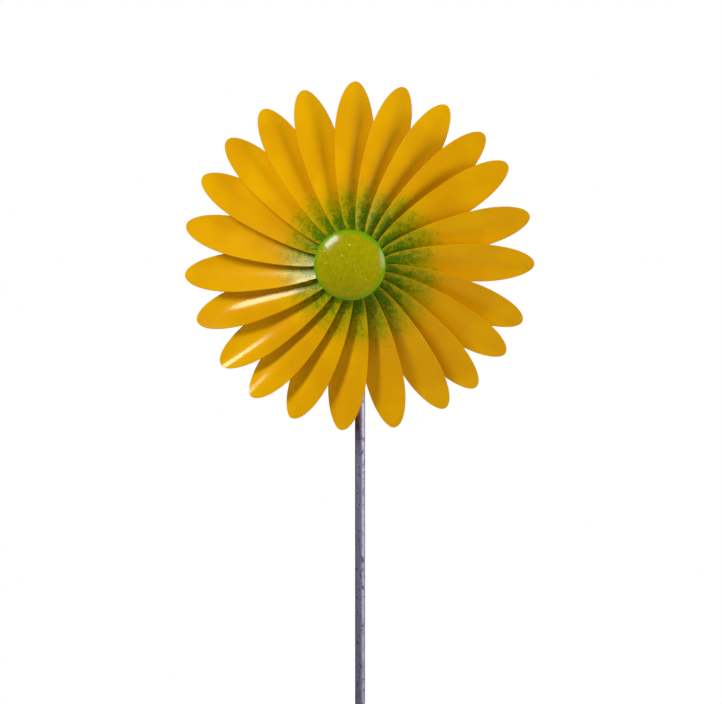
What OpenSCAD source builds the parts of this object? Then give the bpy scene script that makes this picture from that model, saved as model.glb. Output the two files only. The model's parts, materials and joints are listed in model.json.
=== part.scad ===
// Wind spinner: a sheet metal daisy that turns on a horizontal axle at the top of a steel stake.
// The flower faces -Y. The origin is on the stake's axis, at the ground line, with +Z up.

/* [Flower] */
// Diameter across the petal tips
flower_d = 336; // [320:2:350]
// Greatest width of a petal, measured flat
petal_w = 38; // [36:0.5:38.5]
// Sheet thickness of a petal
petal_t = 0.7; // [0.5:0.1:0.8]
// Angle between a petal's root and the plane of the flower
root_slope = 19; // [18:1:21]
// Angle between a petal's tip and the plane of the flower
tip_slope = 5; // [4:1:7]
// Turn of each petal about its own length, which lifts its anticlockwise edge
petal_twist = 16; // [16:0.5:18]
// Radius of the trough across a petal
trough_r = 60; // [60:1:80]
// Direction of the first petal, anticlockwise from +X as seen from the front
first_petal = 14; // [0:0.5:15]

/* [Dome] */
// Diameter of the dome at its rim
dome_d = 68; // [66:0.5:72]
// Height of the dome above its rim
dome_h = 14; // [13:0.5:16]
// Sheet thickness of the dome
dome_t = 1; // [0.6:0.1:1]
// How far the dome sits to the left of the spin axis
dome_shift = 6.5; // [0:0.5:7]
// How far the dome sits below the spin axis
dome_drop = 2; // [0:0.5:3]

/* [Stake] */
// Diameter of the stake
pole_d = 10; // [10:0.5:12]
// Height of the flower's centre above the ground line
hub_height = 850; // [700:10:1000]
// Height of the joint between the two pole sections
joint_height = 350; // [300:10:400]
// Length of stake below the ground line
ground_depth = 200; // [150:10:250]
// Length of the point at the stake's foot
point_len = 25; // [20:1:40]

/* [Hub] */
// Distance from the stake's axis forward to the plane of the petal tips
tip_reach = 25; // [24:0.5:28]
// Outside diameter of the ring that carries the petals
ring_d = 48; // [46:0.5:48]
// Wall of the petal ring
ring_wall = 1.5; // [1:0.1:2]
// Outside diameter of the bearing barrel
barrel_d = 25; // [24:0.5:28]
// Distance between the two bearings
bearing_gap = 18; // [14:1:18]

/* [Hidden] */
petal_count = 23;
// How far each tip sits to the side of its even place, in degrees, from bending by hand
tip_lean = [
    0.5, 3, 0, -0.5, -1, -1, 0.5, -0.5, -1, -2, -1, 0,
    0, 1, 0, -1, 0, 2, 4, 1, 0, -3.5, 0
];
petal_pitch = 360 / petal_count;

// Petal: an arc from root to tip, worked out on the straight chord between its ends
ring_r = ring_d / 2;
tip_r = flower_d / 2;
half_turn = (root_slope - tip_slope) / 2;
chord_slope = (root_slope + tip_slope) / 2;
chord = (tip_r - ring_r) / cos(chord_slope);
arc_r = chord / (2 * sin(half_turn));
root_reach = tip_reach + (tip_r - ring_r) * tan(chord_slope);
petal_half = petal_w / 2;
widest_at = 0.625 * chord;
root_run = 1.045 * widest_at;
tip_run = chord - widest_at;
root_overrun = 1.5;
outline_steps = 18;

// M6 fixings
axle_r = 3;
axle_hole_r = 3.1;
hex_r = 10 / 2 / cos(30);
head_h = 4;
nut_h = 6;
nut_hex_h = 4.4;
washer_t = 1.6;
washer_r = 6;
collar_r = 4.6;

// Bearings, size 626: 6 mm bore, 19 mm outside, 6 mm wide
bearing_w = 6;
bearing_r = 9.5;
inner_land_r = 5.1;
outer_land_r = 7.6;
ball_r = 1.75;
ball_orbit_r = 6.25;
ball_count = 7;
groove_play = 0.05;
cage_w = 4.4;
cage_r = [5.6, 6.9];
pocket_play = 0.1;
shield_t = 0.4;
shield_inset = 0.3;
shield_r = 5.25;

// Stack along the axle, measured forward from the stake's axis
pole_r = pole_d / 2;
boss_r = 8;
boss_half = 9;
rear_bearing_at = boss_half + 8;
front_bearing_at = rear_bearing_at + bearing_w + bearing_gap;
front_washer_at = front_bearing_at + bearing_w;
nut_at = front_washer_at + washer_t;
axle_end = nut_at + nut_h + 2.4;
spacer_r = 4.5;
front_washer_r = 5;
barrel_lip = 1;
barrel_from = rear_bearing_at - barrel_lip;
barrel_to = front_bearing_at + bearing_w + 2;
barrel_r = barrel_d / 2;
barrel_waist_r = 8.2;
barrel_chamfer = 0.8;
plate_t = 1.5;
ring_from = barrel_to - barrel_chamfer - plate_t;
ring_to = root_reach + 6;
cap_t = 1.5;
ring_bore_r = ring_r - ring_wall;

// Dome
dome_rim_r = dome_d / 2;
dome_ball_r = (dome_rim_r * dome_rim_r + dome_h * dome_h) / (2 * dome_h);
dome_rim_at = ring_to - cap_t;
dome_ball_at = dome_rim_at + dome_h - dome_ball_r;
base_t = 1;
rivet_r = 1.6;
rivet_head_r = 3;
rivet_head_h = 1.2;
rivet_circle_r = 13;
rivet_count = 3;

// Pole
stud_r = 3;
stud_len = 40;
end_chamfer = 0.5;
point_tip_r = 0.6;

function petal_name(i) = str("petal_", i < 10 ? "0" : "", i);

// ---- shared shapes ----

// Places a piece on the axle: its own +Z points forward along the axle
module on_axle(reach = 0) {
    translate([0, 0, hub_height]) rotate([90, 0, 0]) translate([0, 0, reach]) children();
}

// Round bar with both ends chamfered
module chamfered_bar(r, length, chamfer) {
    rotate_extrude($fn = 96) polygon([
        [0, 0], [r - chamfer, 0], [r, chamfer], [r, length - chamfer], [r - chamfer, length], [0, length]
    ]);
}

// Tube with plain ends
module tube(outer, inner, length) {
    rotate_extrude($fn = 96) translate([inner, 0]) square([outer - inner, length]);
}

// Hexagon with its corners bevelled on one face
module hex_block(height) {
    bevel = 0.6;
    intersection() {
        cylinder(r = hex_r, h = height, $fn = 6);
        rotate_extrude($fn = 96) polygon([
            [0, 0], [hex_r - bevel, 0], [hex_r + bevel, 2 * bevel], [hex_r + bevel, height], [0, height]
        ]);
    }
}

// ---- stake ----

module lower_pole() {
    straight = joint_height + ground_depth - point_len;
    color("dimgray") difference() {
        union() {
            translate([0, 0, point_len - ground_depth]) rotate_extrude($fn = 96) polygon([
                [0, 0], [pole_r, 0], [pole_r, straight - end_chamfer],
                [pole_r - end_chamfer, straight], [0, straight]
            ]);
            translate([0, 0, -ground_depth]) cylinder(r1 = point_tip_r, r2 = pole_r, h = point_len, $fn = 96);
        }
        translate([0, 0, joint_height - stud_len / 2]) cylinder(r = stud_r, h = stud_len, $fn = 64);
    }
}

module upper_pole() {
    color("dimgray") difference() {
        translate([0, 0, joint_height])
            chamfered_bar(pole_r, hub_height - joint_height, end_chamfer);
        translate([0, 0, joint_height - stud_len / 2]) cylinder(r = stud_r, h = stud_len, $fn = 64);
        on_axle(-2 * boss_half) cylinder(r = boss_r, h = 4 * boss_half, $fn = 96);
    }
}

module joint_stud() {
    color("silver") translate([0, 0, joint_height - stud_len / 2])
        chamfered_bar(stud_r, stud_len, end_chamfer);
}

module axle_head() {
    color("dimgray") on_axle(-boss_half) difference() {
        chamfered_bar(boss_r, 2 * boss_half, 1);
        translate([0, 0, -1]) cylinder(r = axle_hole_r, h = 2 * boss_half + 2, $fn = 64);
    }
}

// ---- axle hardware ----

module axle_bolt() {
    under_head = -boss_half - washer_t;
    color("silver") {
        on_axle(under_head - head_h) union() {
            hex_block(head_h);
            translate([0, 0, head_h]) chamfered_bar(axle_r, axle_end - under_head, end_chamfer);
        }
    }
}

module rear_washer() {
    color("silver") on_axle(-boss_half - washer_t) tube(washer_r, axle_hole_r, washer_t);
}

module rear_spacer() {
    color("gold") on_axle(boss_half) tube(spacer_r, axle_r, rear_bearing_at - boss_half);
}

module bearing_spacer() {
    color("gold") on_axle(rear_bearing_at + bearing_w) tube(spacer_r, axle_r, bearing_gap);
}

module front_washer() {
    color("silver") on_axle(front_washer_at) tube(front_washer_r, axle_hole_r, washer_t);
}

module lock_nut() {
    color("silver") on_axle(nut_at) difference() {
        union() {
            hex_block(nut_hex_h);
            chamfered_bar(collar_r, nut_h, 0.4);
        }
        translate([0, 0, -1]) cylinder(r = axle_r, h = nut_h + 2, $fn = 64);
    }
}

// ---- ball bearings ----

// One bearing ring: a tube with the ball track turned into it
module bearing_ring(inner, outer) {
    rotate_extrude($fn = 96) difference() {
        translate([inner, 0]) square([outer - inner, bearing_w]);
        translate([ball_orbit_r, bearing_w / 2]) circle(r = ball_r + groove_play, $fn = 64);
    }
}

// Puts a child at each ball's place, with its own +Z pointing outward from the axle
module at_balls() {
    for (i = [0:ball_count - 1])
        rotate([0, 0, i * 360 / ball_count]) translate([ball_orbit_r, 0, bearing_w / 2])
            rotate([0, 90, 0]) children();
}

module ball_cage() {
    difference() {
        translate([0, 0, (bearing_w - cage_w) / 2]) tube(cage_r[1], cage_r[0], cage_w);
        at_balls() cylinder(r = ball_r + pocket_play, h = 4, center = true, $fn = 48);
    }
}

module bearing_shields() {
    for (z = [shield_inset, bearing_w - shield_inset - shield_t])
        translate([0, 0, z]) tube(outer_land_r, shield_r, shield_t);
}

module rear_inner_ring() {
    color("lightsteelblue") on_axle(rear_bearing_at) bearing_ring(axle_r, inner_land_r);
}

module front_inner_ring() {
    color("lightsteelblue") on_axle(front_bearing_at) bearing_ring(axle_r, inner_land_r);
}

module rear_outer_ring() {
    color("lightsteelblue") on_axle(rear_bearing_at) bearing_ring(outer_land_r, bearing_r);
}

module front_outer_ring() {
    color("lightsteelblue") on_axle(front_bearing_at) bearing_ring(outer_land_r, bearing_r);
}

module rear_balls() {
    color("white") on_axle(rear_bearing_at) at_balls() sphere(r = ball_r, $fn = 48);
}

module front_balls() {
    color("white") on_axle(front_bearing_at) at_balls() sphere(r = ball_r, $fn = 48);
}

module rear_cage() {
    color("goldenrod") on_axle(rear_bearing_at) ball_cage();
}

module front_cage() {
    color("goldenrod") on_axle(front_bearing_at) ball_cage();
}

module rear_shields() {
    color("slategray") on_axle(rear_bearing_at) bearing_shields();
}

module front_shields() {
    color("slategray") on_axle(front_bearing_at) bearing_shields();
}

// ---- hub ----

// Bearing housing, with a pocket at each end and a waist between them
module hub_barrel() {
    length = barrel_to - barrel_from;
    pocket_depth = barrel_lip + bearing_w;
    color("darkgoldenrod") on_axle(barrel_from) difference() {
        chamfered_bar(barrel_r, length, barrel_chamfer);
        translate([0, 0, -1]) cylinder(r = barrel_waist_r, h = length + 2, $fn = 96);
        translate([0, 0, -1]) cylinder(r = bearing_r, h = pocket_depth + 1, $fn = 96);
        translate([0, 0, front_bearing_at - barrel_from]) cylinder(r = bearing_r, h = length, $fn = 96);
    }
}

module hub_plate() {
    color("darkgoldenrod") on_axle(ring_from) tube(ring_bore_r, barrel_r, plate_t);
}

module petal_ring() {
    color("darkgoldenrod") on_axle(ring_from) tube(ring_r, ring_bore_r, ring_to - ring_from);
}

// ---- dome ----

// Axes of the rivets, off the spin axis by half as much as the dome is
module at_rivets() {
    for (i = [0:rivet_count - 1])
        translate([-dome_shift / 2, -dome_drop / 2, 0]) rotate([0, 0, 90 + i * 360 / rivet_count])
            translate([rivet_circle_r, 0, 0]) children();
}

module ring_cap() {
    color("darkgoldenrod") on_axle(ring_to - cap_t) difference() {
        cylinder(r = ring_bore_r, h = cap_t, $fn = 96);
        translate([0, 0, -1]) at_rivets() cylinder(r = rivet_r, h = cap_t + 2, $fn = 48);
    }
}

module dome_base() {
    color("olivedrab") on_axle() difference() {
        intersection() {
            translate([-dome_shift, -dome_drop, ring_to]) cylinder(r = dome_rim_r, h = base_t, $fn = 96);
            translate([-dome_shift, -dome_drop, dome_ball_at]) sphere(r = dome_ball_r - dome_t, $fn = 128);
        }
        translate([0, 0, ring_to - 1]) at_rivets() cylinder(r = rivet_r, h = base_t + 2, $fn = 48);
    }
}

module dome_rivets() {
    grip = cap_t + base_t;
    color("silver") on_axle(ring_to - cap_t - rivet_head_h) at_rivets() {
        cylinder(r = rivet_head_r, h = rivet_head_h, $fn = 48);
        translate([0, 0, rivet_head_h]) cylinder(r = rivet_r, h = grip, $fn = 48);
        translate([0, 0, rivet_head_h + grip]) cylinder(r = rivet_head_r, h = rivet_head_h, $fn = 48);
    }
}

module dome_cap() {
    color("yellowgreen") on_axle() intersection() {
        translate([-dome_shift, -dome_drop, dome_ball_at]) difference() {
            sphere(r = dome_ball_r, $fn = 128);
            sphere(r = dome_ball_r - dome_t, $fn = 128);
        }
        translate([-dome_shift, -dome_drop, dome_rim_at]) cylinder(r = dome_rim_r, h = dome_h + 1, $fn = 96);
    }
}

// ---- petals ----

// Half-width of the flat outline at distance x from the root
function leaf_half(x) =
    let (run = x < widest_at ? root_run : tip_run)
    petal_half * sqrt(max(0, 1 - pow((x - widest_at) / run, 2)));

// Distances along the petal, close together at the tip where the outline turns
leaf_at = [
    for (k = [0:outline_steps]) widest_at - (widest_at + root_overrun) * (1 - k / outline_steps),
    for (k = [1:outline_steps]) widest_at + tip_run * sin(90 * k / outline_steps)
];

module leaf_outline() {
    last = len(leaf_at) - 1;
    polygon(concat(
        [for (k = [0:last]) [leaf_at[k], -leaf_half(leaf_at[k])]],
        [for (k = [last - 1:-1:0]) [leaf_at[k], leaf_half(leaf_at[k])]]
    ));
}

// Curved sheet: part of a large ring whose round section makes the trough
module trough_sheet() {
    spread = half_turn + 3;
    translate([chord / 2, 0, arc_r * cos(half_turn)]) rotate([-90, 90, 0]) rotate([0, 0, -spread])
        rotate_extrude(angle = 2 * spread, $fn = 360) intersection() {
            translate([arc_r - trough_r, 0]) difference() {
                circle(r = trough_r + petal_t, $fn = 180);
                circle(r = trough_r, $fn = 180);
            }
            translate([arc_r - petal_half / 2, -petal_half - 1]) square([petal_half, petal_w + 2]);
        }
}

// One petal, standing on the ring and bent sideways at its root by its own lean
module petal(i) {
    direction = first_petal + (i - 1) * petal_pitch;
    bend = tip_lean[i - 1] * tip_r / (tip_r - ring_r);
    color("orange") on_axle() rotate([0, 0, direction]) difference() {
        translate([ring_r, 0, root_reach])
            rotate([0, 0, bend]) rotate([0, chord_slope, 0]) rotate([petal_twist, 0, 0])
                intersection() {
                    trough_sheet();
                    translate([0, 0, -chord / 2]) linear_extrude(chord) leaf_outline();
                }
        cylinder(r = ring_r, h = 2 * root_reach, $fn = 96);
    }
}

lower_pole();
upper_pole();
joint_stud();
axle_head();
axle_bolt();
rear_washer();
rear_spacer();
rear_inner_ring();
bearing_spacer();
front_inner_ring();
front_washer();
lock_nut();
rear_balls();
rear_cage();
front_balls();
front_cage();
rear_outer_ring();
rear_shields();
front_outer_ring();
front_shields();
hub_barrel();
hub_plate();
petal_ring();
ring_cap();
dome_base();
dome_rivets();
dome_cap();
for (i = [1:petal_count]) petal(i);
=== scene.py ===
import json
import math
import random

import bmesh
import bpy
from mathutils import Matrix, Vector, noise

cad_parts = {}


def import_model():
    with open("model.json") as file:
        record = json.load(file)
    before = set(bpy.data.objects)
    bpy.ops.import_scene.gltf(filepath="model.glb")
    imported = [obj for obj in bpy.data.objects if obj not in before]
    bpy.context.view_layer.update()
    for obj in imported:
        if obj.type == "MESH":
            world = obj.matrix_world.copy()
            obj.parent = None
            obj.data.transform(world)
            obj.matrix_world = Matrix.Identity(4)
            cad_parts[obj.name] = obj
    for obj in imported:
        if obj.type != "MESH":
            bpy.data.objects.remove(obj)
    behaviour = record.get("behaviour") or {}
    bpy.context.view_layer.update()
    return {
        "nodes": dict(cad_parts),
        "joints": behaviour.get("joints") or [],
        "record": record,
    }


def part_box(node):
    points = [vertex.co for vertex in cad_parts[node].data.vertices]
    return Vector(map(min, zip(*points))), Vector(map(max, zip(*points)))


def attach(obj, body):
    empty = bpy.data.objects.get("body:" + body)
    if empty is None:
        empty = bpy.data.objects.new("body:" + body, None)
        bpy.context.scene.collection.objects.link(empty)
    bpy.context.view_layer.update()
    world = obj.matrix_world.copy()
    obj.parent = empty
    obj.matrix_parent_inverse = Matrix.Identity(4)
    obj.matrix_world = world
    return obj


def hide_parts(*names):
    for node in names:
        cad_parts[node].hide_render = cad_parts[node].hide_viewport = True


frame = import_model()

MM = 0.001

# ---------------------------------------------------------------- places and sizes, from the frame

SPIN = next(joint for joint in frame["joints"] if joint["name"] == "rotor_spin")
HUB_HEIGHT = SPIN["pos_m"][2]
HUB = Vector((0, 0, HUB_HEIGHT))


def box_size(node):
    low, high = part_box(node)
    return Vector(high) - Vector(low)


def box_centre(node):
    low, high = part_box(node)
    return (Vector(low) + Vector(high)) / 2


def front_of(node):
    """Distance of a node's front face ahead of the stake's axis. The flower faces -Y."""
    return -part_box(node)[0][1]


RING_R = box_size("petal_ring").x / 2
BARREL_R = box_size("hub_barrel").x / 2
POLE_R = box_size("upper_pole").x / 2
HEAD_R = box_size("axle_head").x / 2
PLATE_REAR = front_of("hub_plate") - box_size("hub_plate").y
FOOT_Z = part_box("lower_pole")[0][2]
DOME_R = box_size("dome_cap").x / 2
DOME_H = box_size("dome_cap").y
# The middle of the circle that the dome's lower edge lies on
DOME_CENTRE = Vector((box_centre("dome_cap").x, DOME_H - front_of("dome_cap"), box_centre("dome_cap").z))

# Petal: the same arc, trough and outline that the frame's petals have. Angles are in degrees.
PETALS = 23
PITCH = 360 / PETALS
FIRST_PETAL = 14
# How far each tip leans to the side of its even place
TIP_LEAN = [0.5, 3, 0, -0.5, -1, -1, 0.5, -0.5, -1, -2, -1, 0, 0, 1, 0, -1, 0, 2, 4, 1, 0, -3.5, 0]
TIP_R = 168 * MM
HALF_WIDTH = 19 * MM
SHEET = 0.7 * MM
ROOT_SLOPE, TIP_SLOPE = 19, 5
TWIST = 16
TROUGH_R = 60 * MM
TIP_REACH = 25 * MM

HALF_TURN = math.radians((ROOT_SLOPE - TIP_SLOPE) / 2)
CHORD_SLOPE = math.radians((ROOT_SLOPE + TIP_SLOPE) / 2)
CHORD = (TIP_R - RING_R) / math.cos(CHORD_SLOPE)
ARC_R = CHORD / (2 * math.sin(HALF_TURN))
ROOT_REACH = TIP_REACH + (TIP_R - RING_R) * math.tan(CHORD_SLOPE)
WIDEST_AT = 0.625 * CHORD
ROOT_RUN = 1.045 * WIDEST_AT
TIP_RUN = CHORD - WIDEST_AT


def smooth(low, high, x):
    """0 below low, 1 above high and an S-curve between them."""
    t = min(max((x - low) / (high - low), 0), 1)
    return t * t * (3 - 2 * t)


# ---------------------------------------------------------------- materials

class Paint:
    """A material's node graph, with short calls for the nodes used here."""

    def __init__(self, name):
        self.material = bpy.data.materials.new(name)
        self.material.use_nodes = True
        self.tree = self.material.node_tree
        self.shader = self.tree.nodes["Principled BSDF"]

    def node(self, kind, **settings):
        made = self.tree.nodes.new("ShaderNode" + kind)
        for key, value in settings.items():
            setattr(made, key, value)
        return made

    def plug(self, source, socket):
        """Links a socket to another, or gives it a value of its own."""
        if isinstance(source, bpy.types.NodeSocket):
            self.tree.links.new(source, socket)
        else:
            socket.default_value = source

    def set(self, **values):
        """Sets shader inputs: names are written with _ for a space."""
        for key, value in values.items():
            self.plug(value, self.shader.inputs[key.replace("_", " ")])

    def math(self, operation, a, b):
        made = self.node("Math", operation=operation)
        self.plug(a, made.inputs[0])
        self.plug(b, made.inputs[1])
        return made.outputs[0]

    def add(self, a, b):
        return self.math("ADD", a, b)

    def subtract(self, a, b):
        return self.math("SUBTRACT", a, b)

    def times(self, a, b):
        return self.math("MULTIPLY", a, b)

    def ramp(self, value, low, high, to_low=0.0, to_high=1.0):
        """Smooth step of value from low..high to to_low..to_high."""
        made = self.node("MapRange", interpolation_type="SMOOTHSTEP")
        for slot, number in enumerate((value, low, high, to_low, to_high)):
            self.plug(number, made.inputs[slot])
        return made.outputs[0]

    def mix(self, amount, a, b):
        made = self.node("Mix", data_type="RGBA")
        self.plug(amount, made.inputs[0])
        self.plug(a, made.inputs[6])
        self.plug(b, made.inputs[7])
        return made.outputs[2]

    def blend(self, value, low, high, a, b):
        """Colour a where value is below low, and b where it is above high."""
        return self.mix(self.ramp(value, low, high), a, b)

    def place(self):
        """Position in the row frame, which turns with the piece."""
        return self.node("TexCoord").outputs["Object"]

    def stretched(self, scale):
        """Position scaled along each axis: a small number draws the noise out along that axis."""
        made = self.node("Mapping")
        self.plug(self.place(), made.inputs["Vector"])
        made.inputs["Scale"].default_value = scale
        return made.outputs[0]

    def noise(self, size, detail=2.0, rough=0.5, at=None):
        """Noise whose features are about size metres across."""
        made = self.node("TexNoise")
        self.plug(at or self.place(), made.inputs["Vector"])
        made.inputs["Scale"].default_value = 1 / size
        made.inputs["Detail"].default_value = detail
        made.inputs["Roughness"].default_value = rough
        return made.outputs["Fac"]

    def attribute(self, name):
        return self.node("Attribute", attribute_name=name).outputs["Fac"]

    def bump(self, height, distance):
        made = self.node("Bump")
        self.plug(height, made.inputs["Height"])
        made.inputs["Distance"].default_value = distance
        self.set(Normal=made.outputs[0])


def rgb(red, green, blue):
    """A colour given as it looks on a screen, 0 to 255."""
    def linear(v):
        v /= 255
        return v / 12.92 if v <= 0.04045 else ((v + 0.055) / 1.055) ** 2.4
    return (linear(red), linear(green), linear(blue), 1)


def petal_paint():
    """Golden enamel with green sprayed on round the root in a fine spatter."""
    p = Paint("petal_paint")
    gold, deep_gold, worn_edge = rgb(228, 170, 0), rgb(220, 159, 0), rgb(150, 105, 10)
    dust, thin_green = rgb(162, 154, 0), rgb(126, 138, 0)
    dark_green, light_green = rgb(54, 106, 2), rgb(108, 138, 4)

    cloud = p.noise(45 * MM)
    enamel = p.blend(cloud, 0.35, 0.65, gold, deep_gold)
    enamel = p.blend(p.attribute("rim"), 0.3, 1.0, enamel, worn_edge)

    # A spot shows where the grain is above a threshold, which falls as the spray gets denser
    density = p.attribute("spray")
    grain = p.add(p.times(p.noise(1.0 * MM, 2, 0.7), 0.6), p.times(p.noise(6 * MM, 3, 0.6), 0.4))
    cover = p.add(p.times(density, 0.14), p.ramp(density, 0.7, 1.0, 0.0, 0.05))
    spots = p.ramp(p.subtract(grain, p.subtract(0.60, cover)), -0.02, 0.04)
    spots = p.times(spots, p.ramp(density, 0.02, 0.2))
    haze = p.times(p.ramp(density, 0.04, 0.6), 0.75)
    thick_green = p.blend(p.noise(0.9 * MM, 2, 0.7), 0.42, 0.6, dark_green, light_green)
    green = p.blend(density, 0.35, 0.95, thin_green, thick_green)
    p.set(Base_Color=p.mix(spots, p.mix(haze, enamel, dust), green))

    p.set(Roughness=p.add(p.ramp(cloud, 0.3, 0.8, 0.15, 0.20), p.times(density, 0.08)))
    p.set(Specular_IOR_Level=0.28, Specular_Tint=(1, 0.88, 0.64, 1))
    p.bump(p.noise(2.2 * MM), 0.05 * MM)
    return p.material


def dome_enamel():
    """Glossy olive enamel, mottled, that pools green at the rim."""
    p = Paint("dome_enamel")
    olive, green_olive = rgb(168, 154, 0), rgb(146, 148, 0)
    leaf_green, rim_green = rgb(100, 156, 6), rgb(58, 142, 8)
    cloud = p.noise(14 * MM, 3)
    crown = p.blend(p.noise(4 * MM, 3, 0.6), 0.35, 0.65, olive, green_olive)
    # How far out a point is, with an uneven border
    outward = p.add(p.attribute("outward"), p.times(p.subtract(cloud, 0.5), 0.12))
    shoulder = p.blend(outward, 0.84, 1.0, crown, leaf_green)
    p.set(Base_Color=p.blend(outward, 0.97, 1.05, shoulder, rim_green))
    p.set(Roughness=p.ramp(cloud, 0.3, 0.7, 0.15, 0.19), Specular_IOR_Level=0.25)
    p.bump(p.noise(6 * MM), 0.08 * MM)
    return p.material


def speck_enamel():
    """The pale grains caught in the dome's enamel."""
    p = Paint("speck_enamel")
    p.set(Base_Color=p.blend(p.noise(5 * MM), 0.35, 0.65, rgb(236, 228, 116), rgb(204, 200, 70)))
    p.set(Roughness=0.12, Coat_Weight=0.8)
    return p.material


def hub_paint():
    """The yellow enamel over the welded hub."""
    p = Paint("hub_paint")
    p.set(Base_Color=p.blend(p.noise(12 * MM, 3), 0.3, 0.7, rgb(226, 160, 4), rgb(205, 140, 6)))
    p.set(Roughness=p.ramp(p.noise(1.5 * MM, 3), 0.3, 0.7, 0.32, 0.5), Coat_Weight=0.25)
    p.bump(p.noise(1.8 * MM, 3), 0.08 * MM)
    return p.material


def stake_steel():
    """Raw drawn bar: violet-grey mill skin with dark flecks and faint lengthwise drawing marks."""
    p = Paint("stake_steel")
    draw = p.noise(1.1 * MM, 4, 0.7, p.stretched((1, 1, 0.12)))
    fleck = p.noise(3.0 * MM, 5, 0.75, p.stretched((1, 1, 0.45)))
    dark = p.ramp(fleck, 0.50, 0.68)
    skin = p.blend(draw, 0.3, 0.7, rgb(188, 182, 212), rgb(218, 212, 240))
    p.set(Base_Color=p.mix(dark, skin, rgb(80, 74, 90)))
    p.set(Roughness=p.ramp(fleck, 0.35, 0.65, 0.54, 0.7), Metallic=1.0)
    p.bump(p.add(draw, p.times(dark, -0.6)), 0.05 * MM)
    return p.material


def machined(name, light, dark, rough, mark_size):
    """Turned or plated metal with fine tool marks."""
    p = Paint(name)
    marks = p.noise(mark_size, 4, 0.65, p.stretched((1, 6, 1)))
    p.set(Base_Color=p.blend(marks, 0.3, 0.7, light, dark), Metallic=0.75)
    p.set(Roughness=p.ramp(marks, 0.3, 0.7, rough - 0.06, rough + 0.1))
    p.bump(marks, 0.02 * MM)
    return p.material


def weld_metal():
    """A painted weld bead, rippled along its length."""
    p = Paint("weld_metal")
    ripple = p.noise(1.4 * MM, 3)
    p.set(Base_Color=p.blend(ripple, 0.35, 0.7, rgb(196, 138, 10), rgb(150, 100, 16)), Roughness=0.45)
    p.bump(ripple, 0.2 * MM)
    return p.material


def floor_paint():
    """Plain pale studio floor."""
    p = Paint("floor_paint")
    p.set(Base_Color=p.mix(p.noise(0.4), rgb(238, 238, 238), rgb(234, 234, 234)), Roughness=0.85)
    return p.material


PETAL_PAINT = petal_paint()
DOME_ENAMEL = dome_enamel()
SPECK_ENAMEL = speck_enamel()
HUB_PAINT = hub_paint()
STAKE_STEEL = stake_steel()
WELD_METAL = weld_metal()
ZINC = machined("zinc_steel", rgb(226, 228, 230), rgb(196, 199, 202), 0.42, 1.2 * MM)
BEARING = machined("bearing_steel", rgb(232, 232, 236), rgb(212, 212, 217), 0.24, 0.8 * MM)
BRASS = machined("turned_brass", rgb(226, 190, 108), rgb(200, 160, 82), 0.34, 0.9 * MM)

# The material for each slot named in the part's record
CAD_FINISH = {
    "petal_paint": PETAL_PAINT,
    "dome_enamel": DOME_ENAMEL,
    "hub_paint": HUB_PAINT,
    "stake_steel": STAKE_STEEL,
    "zinc_steel": ZINC,
    "bearing_steel": BEARING,
    "spacer_brass": BRASS,
    "cage_brass": BRASS,
}


def finish_cad_nodes():
    for part in frame["record"]["subparts"]:
        mesh = frame["nodes"][part["node"]].data
        mesh.materials.clear()
        mesh.materials.append(CAD_FINISH[part["material_slot"]])


# ---------------------------------------------------------------- meshes and pieces

def add_object(name, data):
    made = bpy.data.objects.new(name, data)
    bpy.context.scene.collection.objects.link(made)
    return made


def make_mesh(name, bm, material):
    mesh = bpy.data.meshes.new(name)
    bm.to_mesh(mesh)
    bm.free()
    mesh.materials.append(material)
    return mesh


def new_piece(name, bm, material, body):
    mesh = make_mesh(name, bm, material)
    for face in mesh.polygons:
        face.use_smooth = True
    piece = add_object(name, mesh)
    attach(piece, body)
    return piece


def bridge(bm, a, b):
    """Faces between two closed rings of vertices. A vertex that stands for several counts once."""
    for k in range(len(a)):
        n = (k + 1) % len(a)
        points = list(dict.fromkeys((a[k], a[n], b[n], b[k])))
        if len(points) > 2:
            bm.faces.new(points)


def in_hub(point):
    """From the hub's own axes (right, up, forward) to the row frame."""
    return HUB + Vector((point[0], -point[2], point[1]))


def radial(angle):
    """Unit vector straight out from the spin axis, at an angle from +X towards +Z."""
    return Vector((math.cos(angle), 0, math.sin(angle)))


def leaning(tilt, angle):
    """Unit vector tilted off the way the flower faces, towards the radial direction at an angle."""
    return radial(angle) * math.sin(tilt) + Vector((0, -math.cos(tilt), 0))


# ---------------------------------------------------------------- petals

def leaf_half(x):
    """Half of a petal's width at a distance along its chord."""
    run = ROOT_RUN if x < WIDEST_AT else TIP_RUN
    return HALF_WIDTH * math.sqrt(max(0, 1 - ((x - WIDEST_AT) / run) ** 2))


def sheet_height(x, y, depth):
    """Height of the petal over its chord: part of a large ring with a round section."""
    reach = ARC_R - TROUGH_R + math.sqrt((TROUGH_R + depth) ** 2 - y * y)
    return ARC_R * math.cos(HALF_TURN) - math.sqrt(reach * reach - (x - CHORD / 2) ** 2)


# How far each tip is bent forward, in mm, and the part of the chord where the bend begins
TIP_BEND = [1, 0, 1.5, 0.5, 2, 1, 0, 1, 1.5, 0, 1, 0.5, 1, 6, 6.5, 3, 2, 1, 0, 1.5, 0.5, 1, 0]
BEND_FROM = 0.45
# How far a tip may be turned about the petal's length, in degrees
TIP_TURN = 2

# The step across a petal: slope beside it, its height and its run
BESIDE_STEP = 0.20
STEP_RISE = 2.8 * MM
STEP_RUN = 6 * MM
# Where along the chord the step begins and is full, and how much of it each petal has
STEP_FROM, STEP_FULL = 0.08 * CHORD, 0.38 * CHORD
STEP_PART = [
    0.35, 0.35, 0.5, 0.65, 0.95, 1, 1, 0.85, 0.6, 0.5, 0.5, 0.5,
    1, 1.05, 1, 1, 0.8, 0.7, 0.35, 0.3, 0.3, 0.35, 0.35
]
# The step's line: how far beside the chord it lies at one place, and how fast it drifts across from there
LINE_BESIDE, LINE_AT = 5 * MM, 0.25 * CHORD
LINE_DRIFT = 0.09
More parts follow.
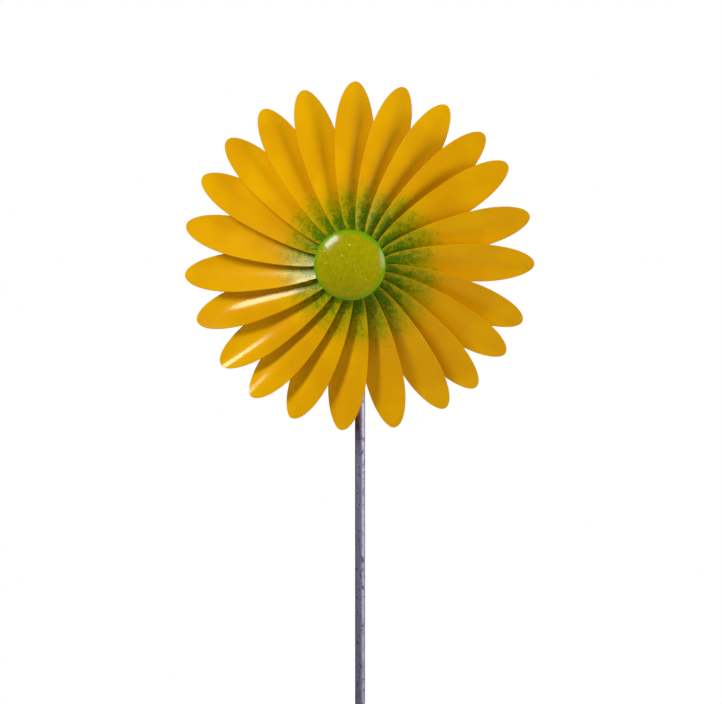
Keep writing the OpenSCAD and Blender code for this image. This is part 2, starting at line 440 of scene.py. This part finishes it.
# On one petal the line runs nearly straight, and on another the step fades before the tip
STRAIGHT_PETAL, STRAIGHT_DRIFT = 13, 0.015
FADING_PETAL, FADED_PART = 12, 0.8
FADE_FROM, FADE_FULL = 0.62 * CHORD, 0.9 * CHORD

# Shallow dents, everywhere but near the root
DENT_DEPTH = 0.7 * MM
DENTS_A_METRE = 28
DENTS_FROM, DENTS_FULL = 0.3 * CHORD, 0.6 * CHORD
# Each petal's dents come from its own place in the noise, up to this far out
NOISE_REACH = 90
HAND_SEED = 40


class Hand:
    """What forming by hand gives a petal: it steps up over its neighbour, and its tip is bent and dented."""

    def __init__(self, index):
        rng = random.Random(HAND_SEED + index)
        self.bend = TIP_BEND[index] * MM
        self.part = STEP_PART[index]
        self.drift = STRAIGHT_DRIFT if index == STRAIGHT_PETAL else LINE_DRIFT
        self.faded = FADED_PART if index == FADING_PETAL else 0
        self.turn = math.radians(rng.uniform(-TIP_TURN, TIP_TURN))
        self.seed = Vector((rng.uniform(0, NOISE_REACH), rng.uniform(0, NOISE_REACH), 0))

    def step(self, x, y):
        """The step, which also flattens the trough beside it."""
        line = LINE_BESIDE - self.drift * (x - LINE_AT)
        rise = STEP_RISE * math.tanh((y - line) / STEP_RUN) - BESIDE_STEP * y
        flat = (HALF_WIDTH ** 2 / 3 - y * y) / (2 * TROUGH_R)
        amount = self.part * smooth(STEP_FROM, STEP_FULL, x)
        amount *= 1 - self.faded * smooth(FADE_FROM, FADE_FULL, x)
        return amount * (rise + flat)

    def tip(self, x, y):
        """The free end's bend and turn."""
        free = max(0, x / CHORD - BEND_FROM) / (1 - BEND_FROM)
        return free * (free * self.bend + y * math.tan(self.turn))

    def dent(self, x, y):
        wave = noise.noise(Vector((x, y, 0)) * DENTS_A_METRE + self.seed)
        return wave * DENT_DEPTH * smooth(DENTS_FROM, DENTS_FULL, x)

    def height(self, x, y):
        """What is added to the sheet's height at a point of the petal."""
        return self.step(x, y) + self.tip(x, y) + self.dent(x, y)


def petal_turn(index):
    """Rotation that stands a petal on the ring, in the hub's own axes."""
    lean = math.radians(TIP_LEAN[index] * TIP_R / (TIP_R - RING_R))
    around = Matrix.Rotation(math.radians(FIRST_PETAL + index * PITCH), 4, "Z")
    stand = Matrix.Translation((RING_R, 0, ROOT_REACH))
    bend = Matrix.Rotation(lean, 4, "Z") @ Matrix.Rotation(CHORD_SLOPE, 4, "Y")
    return around @ stand @ bend @ Matrix.Rotation(math.radians(TWIST), 4, "X")


# The petal's grid: rows along its chord, columns across it from -1 to 1, the outer two close to the edge
ROOT_ROWS, TIP_ROWS = 30, 22
INNER_EDGE, INNER_COLUMNS = 0.97, 16
COLUMNS = [-1, *(INNER_EDGE * (2 * k / INNER_COLUMNS - 1) for k in range(INNER_COLUMNS + 1)), 1]
# The last row stops just short of the tip's point, in degrees round the outline
TIP_END = 88
# How far the root goes into the ring, and how far the rim's middle is rounded out
ROOT_SINK = 0.4 * MM
RIM_BULGE = 0.25 * MM


def petal_rows():
    """Distances along the chord, evenly spaced round the outline near the tip."""
    rows = [-ROOT_SINK + (WIDEST_AT + ROOT_SINK) * k / ROOT_ROWS for k in range(ROOT_ROWS)]
    tip = [WIDEST_AT + TIP_RUN * math.sin(math.radians(TIP_END * k / TIP_ROWS)) for k in range(TIP_ROWS + 1)]
    return rows + tip


def outline(last_row, last_column):
    """The grid's border as (row, column), once round from the root."""
    border = [(r, 0) for r in range(last_row)]
    border += [(last_row, c) for c in range(last_column + 1)]
    border += [(r, last_column) for r in range(last_row - 1, -1, -1)]
    return border + [(0, c) for c in range(last_column - 1, 0, -1)]


# The green spray is full to one radius and gone at another, which is larger to the lower right
SPRAY_FULL_R, SPRAY_END_R = 36 * MM, 94 * MM
SPRAY_SHIFT, SPRAY_SHIFT_TOWARD = 7 * MM, -70
# The most that this radius varies from petal to petal
SPRAY_SCATTER = 5 * MM
SPRAY_SEED = 900
# The raised edge gets less, from this part of the half width on, and the petal's back only a trace
EDGE_FROM, EDGE_LOSS = 0.5, 0.35
BACK_PART = 0.12


def spray_end(index):
    """Radius at which a petal's spray is gone."""
    off_shift = math.radians(FIRST_PETAL + index * PITCH - SPRAY_SHIFT_TOWARD)
    scatter = random.Random(SPRAY_SEED + index).uniform(-SPRAY_SCATTER, SPRAY_SCATTER)
    return SPRAY_END_R + SPRAY_SHIFT * math.cos(off_shift) + scatter


def spray_density(radius, end, across):
    """0 to 1, at a radius on a petal whose spray is gone at end."""
    fade = 1 - smooth(SPRAY_FULL_R, end, radius)
    return fade * (1 - EDGE_LOSS * smooth(EDGE_FROM, 1, across))


def petal(index):
    hand = Hand(index)
    turn = petal_turn(index)
    end = spray_end(index)
    bm = bmesh.new()
    spray = bm.verts.layers.float.new("spray")
    rim = bm.verts.layers.float.new("rim")

    def vertex(x, across, depth, on_rim=0.0, bulge=0.0):
        y = across * leaf_half(x)
        if abs(across) == 1:
            y += math.copysign(bulge, across)
        local = turn @ Vector((x, y, sheet_height(x, y, depth) + hand.height(x, y)))
        made = bm.verts.new(in_hub(local))
        made[rim] = on_rim
        side = 1.0 if depth < SHEET / 2 else BACK_PART
        made[spray] = side * spray_density(math.hypot(local.x, local.y), end, across)
        return made

    rows = petal_rows()
    last_row, last_column = len(rows) - 1, len(COLUMNS) - 1
    front = [[vertex(x, across, 0) for across in COLUMNS] for x in rows]
    back = [[vertex(x, across, SHEET) for across in COLUMNS] for x in rows]
    for r in range(last_row):
        for c in range(last_column):
            bm.faces.new((front[r][c], front[r + 1][c], front[r + 1][c + 1], front[r][c + 1]))
            bm.faces.new((back[r][c], back[r][c + 1], back[r + 1][c + 1], back[r + 1][c]))

    border = outline(last_row, last_column)
    middle = [vertex(rows[r], COLUMNS[c], SHEET / 2, 1.0, RIM_BULGE) for r, c in border]
    for k, (r0, c0) in enumerate(border):
        n = (k + 1) % len(border)
        r1, c1 = border[n]
        bm.faces.new((front[r0][c0], middle[k], middle[n], front[r1][c1]))
        bm.faces.new((middle[k], back[r0][c0], back[r1][c1], middle[n]))
    bmesh.ops.recalc_face_normals(bm, faces=bm.faces)

    piece = new_piece(f"petal_sheet_{index + 1:02d}", bm, PETAL_PAINT, "rotor")
    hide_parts(f"petal_{index + 1:02d}")


# ---------------------------------------------------------------- dome

DOME_SHEET = 1 * MM
SHOULDER = 4 * MM
CROWN_R = 56 * MM
DOME_STEPS, CROWN_STEPS, ROLL_STEPS = 96, 16, 8
# The rounding of the dome's lower edge
EDGE_ROUND, EDGE_IN = 0.25 * MM, 0.1 * MM


def dome_profile(inset):
    """The dome's section from the centre to the rim: a shallow crown that rolls over into a short skirt."""
    edge = DOME_R - SHOULDER
    tilt = math.asin(edge / (CROWN_R - SHOULDER))
    crown_at = (CROWN_R - SHOULDER) * math.cos(tilt)
    lift = DOME_H - (CROWN_R - crown_at)
    crown = [
        ((CROWN_R - inset) * math.sin(a), (CROWN_R - inset) * math.cos(a) - crown_at)
        for a in (tilt * k / CROWN_STEPS for k in range(CROWN_STEPS + 1))
    ]
    roll = [
        (edge + (SHOULDER - inset) * math.sin(a), (SHOULDER - inset) * math.cos(a))
        for a in (tilt + (math.pi / 2 - tilt) * k / ROLL_STEPS for k in range(1, ROLL_STEPS + 1))
    ]
    return [(radius, forward + lift) for radius, forward in crown + roll]


def on_dome(radius, forward, angle):
    """A point of the dome, from its own axis and its lower edge to the row frame."""
    return DOME_CENTRE + radial(angle) * radius + Vector((0, -forward, 0))


def dome():
    """The dome's section, turned about its axis."""
    skirt = [
        (DOME_R - EDGE_IN, EDGE_ROUND),
        (DOME_R - DOME_SHEET / 2, 0),
        (DOME_R - DOME_SHEET, EDGE_ROUND),
    ]
    profile = dome_profile(0) + skirt + dome_profile(DOME_SHEET)[::-1]
    bm = bmesh.new()
    outward = bm.verts.layers.float.new("outward")
    rings = []
    for radius, forward in profile:
        if radius == 0:
            ring = [bm.verts.new(on_dome(0, forward, 0))] * DOME_STEPS
        else:
            ring = [
                bm.verts.new(on_dome(radius, forward, 2 * math.pi * k / DOME_STEPS))
                for k in range(DOME_STEPS)
            ]
        for vertex in ring:
            vertex[outward] = radius / DOME_R
        rings.append(ring)
    for a, b in zip(rings, rings[1:] + rings[:1]):
        bridge(bm, a, b)
    bmesh.ops.recalc_face_normals(bm, faces=bm.faces)
    piece = new_piece("dome_shell", bm, DOME_ENAMEL, "rotor")
    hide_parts("dome_cap")


# Grains in the enamel: distance from the dome's centre as a part of its radius, direction, size
SPECKS = [
    (0.6, 89, 1.1), (0.81, 149, 1.0), (0.36, 124, 0.9), (0.14, 119, 0.8), (0.3, 56, 0.6),
    (0.21, 329, 0.7), (0.59, 321, 0.6), (0.77, 57, 0.45), (0.68, 174, 0.6), (0.38, 174, 0.5),
    (0.88, 348, 0.6), (0.38, 246, 0.5), (0.76, 268, 0.5), (0.55, 198, 0.4),
]
# Radius of a grain of size 1, and how flat the grains lie
SPECK_R = 0.8 * MM
SPECK_FLAT = 0.5


def dome_specks():
    profile = dome_profile(0)

    def forward_at(radius):
        (r0, f0), (r1, f1) = next(pair for pair in zip(profile, profile[1:]) if pair[1][0] >= radius)
        return f0 + (f1 - f0) * (radius - r0) / (r1 - r0)

    bm = bmesh.new()
    for part, direction, size in SPECKS:
        radius = part * DOME_R
        angle = math.radians(direction)
        outward = leaning(math.asin(radius / CROWN_R), angle)
        face_out = outward.to_track_quat("Z", "Y").to_matrix().to_4x4()
        place = Matrix.Translation(on_dome(radius, forward_at(radius), angle)) @ face_out
        made = bmesh.ops.create_icosphere(bm, subdivisions=3, radius=size * SPECK_R)
        bmesh.ops.transform(bm, matrix=place @ Matrix.Diagonal((1, 1, SPECK_FLAT, 1)), verts=made["verts"])
    new_piece("dome_specks", bm, SPECK_ENAMEL, "rotor")


# ---------------------------------------------------------------- welds

# A bead's section, and how much its radius varies
BEAD_ANGLES = [math.pi * k / 4 for k in range(8)]
BEAD_LEAST, BEAD_VARIES = 0.85, 0.3
BEAD_END = 0.35


def bead_radius(rng, radius):
    return radius * (BEAD_LEAST + BEAD_VARIES * rng.random())


def bead(bm, path, radius):
    """A weld bead: a lumpy tube along a path of points, closed at its ends."""
    rng = random.Random(len(path))
    last = len(path) - 1
    rings = []
    for k, point in enumerate(path):
        ahead = (path[min(k + 1, last)] - path[max(k - 1, 0)]).normalized()
        turn = ahead.to_track_quat("Z", "Y")
        r = bead_radius(rng, radius) * (BEAD_END if k in (0, last) else 1)
        rings.append([
            bm.verts.new(point + turn @ Vector((r * math.cos(a), r * math.sin(a), 0)))
            for a in BEAD_ANGLES
        ])
    for a, b in zip(rings, rings[1:]):
        bridge(bm, a, b)
    bm.faces.new(rings[0][::-1])
    bm.faces.new(rings[-1])


PETAL_BEAD_R = 0.7 * MM
PETAL_BEAD_STEPS = 8
# A petal's bead covers this part of its root, and lies this far along the chord and into the sheet
PETAL_BEAD_PART = 0.8
PETAL_BEAD_AT, PETAL_BEAD_SINK = 0.3 * MM, 0.2 * MM


def petal_welds():
    """A bead along the back of each petal's root, where it meets the ring."""
    bm = bmesh.new()
    for index in range(PETALS):
        turn = petal_turn(index)
        path = []
        for k in range(PETAL_BEAD_STEPS + 1):
            y = leaf_half(0) * PETAL_BEAD_PART * (2 * k / PETAL_BEAD_STEPS - 1)
            height = sheet_height(0, y, SHEET) - PETAL_BEAD_SINK
            path.append(in_hub(turn @ Vector((PETAL_BEAD_AT, y, height))))
        bead(bm, path, PETAL_BEAD_R)
    new_piece("petal_welds", bm, WELD_METAL, "rotor")


PLATE_BEAD_STEPS = 72
PLATE_BEAD_SEED = 7
# Wall of the petal ring, whose bead runs round its inside
RING_WALL = 1.5 * MM


def plate_weld(name, radius, size):
    """A bead round the spin axis, on the hub plate's rear face."""
    rng = random.Random(PLATE_BEAD_SEED)
    bm = bmesh.new()
    rings = []
    for k in range(PLATE_BEAD_STEPS):
        out = radial(2 * math.pi * k / PLATE_BEAD_STEPS)
        centre = HUB + out * radius + Vector((0, -PLATE_REAR, 0))
        r = bead_radius(rng, size)
        rings.append([
            bm.verts.new(centre + out * r * math.cos(a) + Vector((0, r * math.sin(a), 0)))
            for a in BEAD_ANGLES
        ])
    for a, b in zip(rings, rings[1:] + rings[:1]):
        bridge(bm, a, b)
    bmesh.ops.recalc_face_normals(bm, faces=bm.faces)
    new_piece(name, bm, WELD_METAL, "rotor")


HEAD_BEAD_R = 0.9 * MM
HEAD_BEAD_STEPS = 48
# The bead's path lies a little outside the pole
HEAD_BEAD_OUT = 1.04


def head_weld():
    """The bead round the saddle joint between the pole and the axle head."""
    path = []
    for k in range(HEAD_BEAD_STEPS + 1):
        a = 2 * math.pi * k / HEAD_BEAD_STEPS
        x, y = POLE_R * math.cos(a), POLE_R * math.sin(a)
        saddle = HUB_HEIGHT - math.sqrt(HEAD_R ** 2 - x * x)
        path.append(Vector((x * HEAD_BEAD_OUT, y * HEAD_BEAD_OUT, saddle)))
    bm = bmesh.new()
    bead(bm, path, HEAD_BEAD_R)
    new_piece("head_weld", bm, STAKE_STEEL, "stake")


# ---------------------------------------------------------------- studio

CAMERA_AZIMUTH, CAMERA_ELEVATION = 3.0, 7.5
CAMERA_DISTANCE = 2.2
LENS = 114.3
CAMERA_SEES_TO = 20
# Where the middle of the picture lies from the middle of the flower
FRAME_RIGHT, FRAME_UP = 2.2 * MM, -90.2 * MM


def toward(azimuth, elevation):
    """Unit vector towards a viewer; azimuth 0 is in front of the flower."""
    a, e = math.radians(azimuth), math.radians(elevation)
    return Vector((math.sin(a) * math.cos(e), -math.cos(a) * math.cos(e), math.sin(e)))


def camera():
    back = toward(CAMERA_AZIMUTH, CAMERA_ELEVATION)
    right = Vector((0, 0, 1)).cross(back).normalized()
    up = back.cross(right)
    flower = HUB + Vector((0, -TIP_REACH, 0))
    position = flower + back * CAMERA_DISTANCE
    aim = flower + right * FRAME_RIGHT + up * FRAME_UP
    data = bpy.data.cameras.new("camera")
    data.lens = LENS
    data.clip_end = CAMERA_SEES_TO
    made = add_object("camera", data)
    made.location = position
    made.rotation_mode = "QUATERNION"
    made.rotation_quaternion = (aim - position).to_track_quat("-Z", "Y")
    bpy.context.scene.camera = made


def soft_light(name, off_axis, around, distance, along, across, power):
    """A softbox aimed at the flower: off_axis from the way it faces, around it anticlockwise from +X.
    Its side called along follows the circle round the flower's axis."""
    angle = math.radians(around)
    away = leaning(math.radians(off_axis), angle)
    sideways = Vector((-math.sin(angle), 0, math.cos(angle)))
    data = bpy.data.lights.new(name, "AREA")
    data.shape = "RECTANGLE"
    data.size, data.size_y = along, across
    data.energy = power
    made = add_object(name, data)
    made.location = HUB + away * distance
    made.rotation_euler = Matrix((sideways, away.cross(sideways), away)).transposed().to_euler()


WHITE = (1, 1, 1, 1)
FILL_COLOUR = (1, 0.92, 0.86, 1)
# Strength of the surrounding white: on plain surfaces, and where it is mirrored
FILL, MIRRORED_FILL = 0.34, 0.03


def world():
    """White where the camera sees it; its light is softer, and softer still in reflections."""
    made = bpy.data.worlds.new("studio")
    bpy.context.scene.world = made
    made.cycles.sampling_method = "NONE"
    made.use_nodes = True
    nodes, links = made.node_tree.nodes, made.node_tree.links
    nodes.clear()

    def node(kind, **values):
        new = nodes.new("ShaderNode" + kind)
        for name, value in values.items():
            new.inputs[name.replace("_", " ")].default_value = value
        return new

    path = node("LightPath")
    level = node("MapRange", To_Min=FILL, To_Max=MIRRORED_FILL)
    links.new(path.outputs["Is Glossy Ray"], level.inputs["Value"])
    fill = node("Background", Color=FILL_COLOUR)
    links.new(level.outputs[0], fill.inputs["Strength"])
    seen = node("Background", Color=WHITE, Strength=1.0)
    choose = node("MixShader")
    links.new(path.outputs["Is Camera Ray"], choose.inputs[0])
    links.new(fill.outputs[0], choose.inputs[1])
    links.new(seen.outputs[0], choose.inputs[2])
    links.new(choose.outputs[0], node("OutputWorld").inputs["Surface"])


FLOOR_R = 1.5
FLOOR_SIDES = 128
# The floor lies just below the point, so the two don't share a plane
FLOOR_GAP = 0.2 * MM


def floor():
    bm = bmesh.new()
    bmesh.ops.create_circle(bm, cap_ends=True, segments=FLOOR_SIDES, radius=FLOOR_R)
    bmesh.ops.translate(bm, verts=bm.verts, vec=(0, 0, FOOT_Z - FLOOR_GAP))
    made = add_object("floor", make_mesh("floor", bm, floor_paint()))
    made.visible_glossy = False


camera()
world()
floor()
soft_light("key", off_axis=58, around=135, distance=2.0, along=0.95, across=0.36, power=32)
soft_light("side", off_axis=76, around=5, distance=2.2, along=1.2, across=1.2, power=35)
soft_light("rear", off_axis=140, around=90, distance=2.4, along=1.4, across=1.0, power=24)
bpy.context.scene.view_settings.view_transform = "Standard"

finish_cad_nodes()
for number in range(PETALS):
    petal(number)
dome()
dome_specks()
petal_welds()
plate_weld("barrel_weld", radius=BARREL_R, size=0.8 * MM)
plate_weld("ring_weld", radius=RING_R - RING_WALL, size=0.7 * MM)
head_weld()
